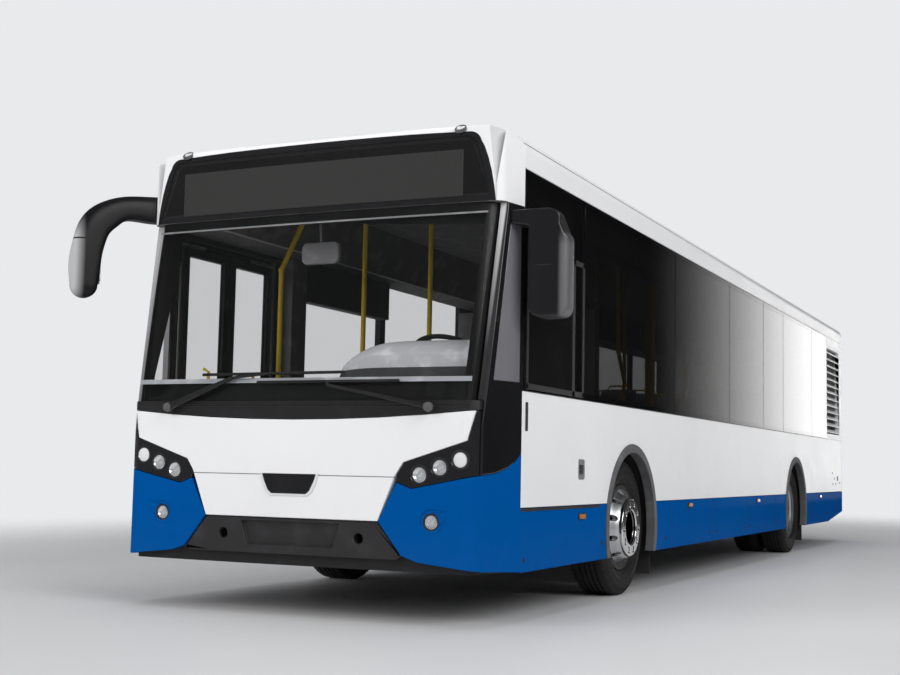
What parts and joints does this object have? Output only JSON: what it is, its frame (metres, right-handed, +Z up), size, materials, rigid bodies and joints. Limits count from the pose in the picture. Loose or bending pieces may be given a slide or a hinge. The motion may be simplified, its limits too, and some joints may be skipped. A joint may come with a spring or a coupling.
{
  "type": "city bus",
  "caption": "Low-floor city bus with a raked windscreen, display dome, inward-gliding double doors, steered front wheels, twin rear wheels, rear hatch and furnished cabin.",
  "frame": {"origin": "on the ground at the centre of the whole vehicle, mirrors included", "axes": "+X towards the nose, +Y to the left side, +Z up"},
  "size_m": [12.17, 3.17, 2.992],
  "materials": {
    "white": "gloss",
    "blue": "gloss",
    "black": "gloss",
    "dark": "satin",
    "grey": "matt",
    "tinted_glass": "clear",
    "screen_glass": "clear",
    "lens": "clear",
    "red_lens": "gloss",
    "rubber": "matt",
    "tyre": "matt",
    "rim_silver": "satin",
    "steel": "satin",
    "iron": "matt",
    "fabric": "matt",
    "yellow": "gloss"
  },
  "bodies": {
    "body": {"floor": "grey", "wheel_housings": "dark", "front_bulkhead": "grey", "waist_panels": "white", "skirts": "blue", "window_posts": "black", "door_portals": "black", "side_glass": "tinted_glass", "arch_trims": "dark", "roof": "white", "cant_rails": "white", "roof_unit": "white", "front_dome": "white", "display_glass": "black", "windscreen_frame": "black", "windscreen": "screen_glass", "corner_posts": "black", "cowl": "black", "front_panel": "white", "bumper_corners": "blue", "bumper_centre": "dark", "headlamp_housings": "black", "lamp_lenses": "lens", "wipers": "black", "mirror_left": "black", "mirror_right": "black", "rear_end": "white", "rear_bumper": "blue", "tail_lamps": "red_lens", "side_vent": "dark", "engine": "iron", "dashboard": "dark", "steering_wheel": "dark", "driver_cab": "grey", "seats": "fabric", "grab_poles": "yellow", "front_axle": "iron", "rear_axle": "iron", "air_springs": "rubber", "mud_flaps": "rubber"},
    "hatch": {"engine_hatch": "white"},
    "knuckle_left": {"knuckle_left": "steel"},
    "knuckle_right": {"knuckle_right": "steel"},
    "wheel_front_left": {"tyre_front_left": "tyre", "rim_front_left": "rim_silver"},
    "wheel_front_right": {"tyre_front_right": "tyre", "rim_front_right": "rim_silver"},
    "wheel_rear_left": {"tyres_rear_left": "tyre", "rims_rear_left": "rim_silver"},
    "wheel_rear_right": {"tyres_rear_right": "tyre", "rims_rear_right": "rim_silver"},
    "post_front_a": {"door_post_front_a": "steel"},
    "leaf_front_a": {"door_leaf_front_a": "black"},
    "post_front_b": {"door_post_front_b": "steel"},
    "leaf_front_b": {"door_leaf_front_b": "black"},
    "post_middle_a": {"door_post_middle_a": "steel"},
    "leaf_middle_a": {"door_leaf_middle_a": "black"},
    "post_middle_b": {"door_post_middle_b": "steel"},
    "leaf_middle_b": {"door_leaf_middle_b": "black"}
  },
  "joints": [
    {"name": "steering", "type": "hinge", "parent": "body", "child": "knuckle_left", "pos_m": [3.355, 0.9675, 0.479], "axis": [0, 0, 1], "range_deg": [-45, 45]},
    {"name": "steering_right", "type": "hinge", "parent": "body", "child": "knuckle_right", "pos_m": [3.355, -0.9675, 0.479], "axis": [0, 0, 1], "range_deg": [-45, 45]},
    {"name": "spin_front_left", "type": "hinge", "parent": "knuckle_left", "child": "wheel_front_left", "pos_m": [3.355, 1.0775, 0.479], "axis": [0, 1, 0], "continuous": true},
    {"name": "spin_rear_left", "type": "hinge", "parent": "body", "child": "wheel_rear_left", "pos_m": [-2.725, 1.0775, 0.479], "axis": [0, 1, 0], "continuous": true},
    {"name": "spin_front_right", "type": "hinge", "parent": "knuckle_right", "child": "wheel_front_right", "pos_m": [3.355, -1.0775, 0.479], "axis": [0, 1, 0], "continuous": true},
    {"name": "spin_rear_right", "type": "hinge", "parent": "body", "child": "wheel_rear_right", "pos_m": [-2.725, -1.0775, 0.479], "axis": [0, 1, 0], "continuous": true},
    {"name": "engine_hatch_swing", "type": "hinge", "parent": "body", "child": "hatch", "pos_m": [-6.067, 0, 1.484], "axis": [0, 1, 0], "range_deg": [0, 75]},
    {"name": "door_front", "type": "hinge", "parent": "body", "child": "post_front_a", "pos_m": [5.385, -1.247, 1.3], "axis": [0, 0, -1], "range_deg": [0, 84]},
    {"name": "door_front_leaf_a", "type": "hinge", "parent": "post_front_a", "child": "leaf_front_a", "pos_m": [5.1135, -1.247, 1.3], "axis": [0, 0, -1], "range_deg": [-168, 0]},
    {"name": "door_front_post_b", "type": "hinge", "parent": "body", "child": "post_front_b", "pos_m": [4.245, -1.247, 1.3], "axis": [0, 0, 1], "range_deg": [0, 84]},
    {"name": "door_front_leaf_b", "type": "hinge", "parent": "post_front_b", "child": "leaf_front_b", "pos_m": [4.5165, -1.247, 1.3], "axis": [0, 0, 1], "range_deg": [-168, 0]},
    {"name": "door_middle", "type": "hinge", "parent": "body", "child": "post_middle_a", "pos_m": [0.87, -1.247, 1.3], "axis": [0, 0, -1], "range_deg": [0, 84]},
    {"name": "door_middle_leaf_a", "type": "hinge", "parent": "post_middle_a", "child": "leaf_middle_a", "pos_m": [0.5985, -1.247, 1.3], "axis": [0, 0, -1], "range_deg": [-168, 0]},
    {"name": "door_middle_post_b", "type": "hinge", "parent": "body", "child": "post_middle_b", "pos_m": [-0.27, -1.247, 1.3], "axis": [0, 0, 1], "range_deg": [0, 84]},
    {"name": "door_middle_leaf_b", "type": "hinge", "parent": "post_middle_b", "child": "leaf_middle_b", "pos_m": [0.0015, -1.247, 1.3], "axis": [0, 0, 1], "range_deg": [-168, 0]}
  ],
  "couplings": [
    {"joint": "steering_right", "follows": "steering", "ratio": 1},
    {"joint": "door_front_leaf_a", "follows": "door_front", "ratio": -2},
    {"joint": "door_front_post_b", "follows": "door_front", "ratio": 1},
    {"joint": "door_front_leaf_b", "follows": "door_front", "ratio": -2},
    {"joint": "door_middle_leaf_a", "follows": "door_middle", "ratio": -2},
    {"joint": "door_middle_post_b", "follows": "door_middle", "ratio": 1},
    {"joint": "door_middle_leaf_b", "follows": "door_middle", "ratio": -2}
  ]
}
